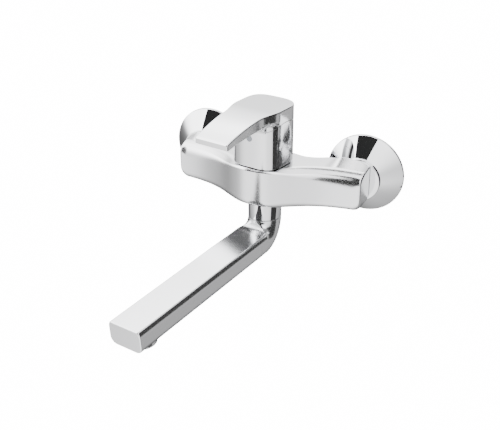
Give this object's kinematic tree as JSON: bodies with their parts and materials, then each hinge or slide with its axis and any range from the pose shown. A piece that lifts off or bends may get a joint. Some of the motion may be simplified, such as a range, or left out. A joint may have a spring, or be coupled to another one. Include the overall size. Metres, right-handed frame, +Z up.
{
  "type": "mixer tap",
  "caption": "Chrome wall-mounted single-lever mixer tap with domed wall covers, a flared bar-shaped body, a flat lever handle on a rounded block, and a long flat swivel spout below.",
  "frame": {"origin": "in the wall plane, midway between the axes of the two wall inlets", "axes": "+Y into the wall along the inlet threads, +X to the right along the inlets, +Z up; the tap stands out towards -Y"},
  "size_m": [0.2186, 0.2434, 0.1426],
  "materials": {
    "chrome": "mirror-polished chrome plating",
    "brass": "turned, unplated",
    "steel": "turned stainless steel",
    "ceramic": "lapped ceramic",
    "white_plastic": "moulded, satin",
    "grey_plastic": "moulded, satin",
    "rubber": "moulded, matt"
  },
  "bodies": {
    "tap_body": {"body_casting": "chrome", "cartridge_housing": "white_plastic", "cartridge_base_seal": "rubber", "fixed_disc": "ceramic", "cartridge_retaining_nut": "brass", "spout_collar_nut": "chrome", "spout_slip_ring": "white_plastic", "left_s_union": "chrome", "right_s_union": "chrome", "left_escutcheon": "chrome", "right_escutcheon": "chrome", "left_union_nut": "chrome", "right_union_nut": "chrome", "left_inlet_nipple": "brass", "right_inlet_nipple": "brass", "left_inlet_washer": "rubber", "right_inlet_washer": "rubber", "left_check_valve": "white_plastic", "right_check_valve": "white_plastic"},
    "mixing_head": {"cartridge_carrier": "grey_plastic", "tilt_pin": "steel", "cover_block": "chrome", "access_plug": "grey_plastic"},
    "disc_carriage": {"disc_slider": "grey_plastic", "moving_disc": "ceramic"},
    "lever": {"cartridge_stem": "steel", "lever_handle": "chrome", "lever_grub_screw": "steel"},
    "spout": {"spout_tube": "chrome", "spout_swivel_tail": "brass", "upper_o_ring": "rubber", "lower_o_ring": "rubber", "spout_tail_clip": "steel", "aerator_housing": "chrome", "aerator_insert": "white_plastic", "aerator_washer": "rubber"}
  },
  "joints": [
    {"name": "mixing_swivel", "type": "hinge", "parent": "tap_body", "child": "mixing_head", "pos_m": [0, -0.048, 0.01], "axis": [0, 0, 1], "range_deg": [-36, 54]},
    {"name": "lever_tilt", "type": "hinge", "parent": "mixing_head", "child": "lever", "pos_m": [0, -0.048, 0.01], "axis": [-0.9877, 0.1564, 0], "range_deg": [0, 22]},
    {"name": "disc_slide", "type": "slide", "parent": "mixing_head", "child": "disc_carriage", "axis": [-0.1564, -0.9877, 0], "range_m": [0, 0.0029]},
    {"name": "spout_swivel", "type": "hinge", "parent": "tap_body", "child": "spout", "pos_m": [0, -0.0444, -0.03], "axis": [0, 0, 1], "range_deg": [-71, 89]}
  ],
  "couplings": [
    {"joint": "disc_slide", "follows": "lever_tilt", "m_per_rad": 0.0075}
  ]
}
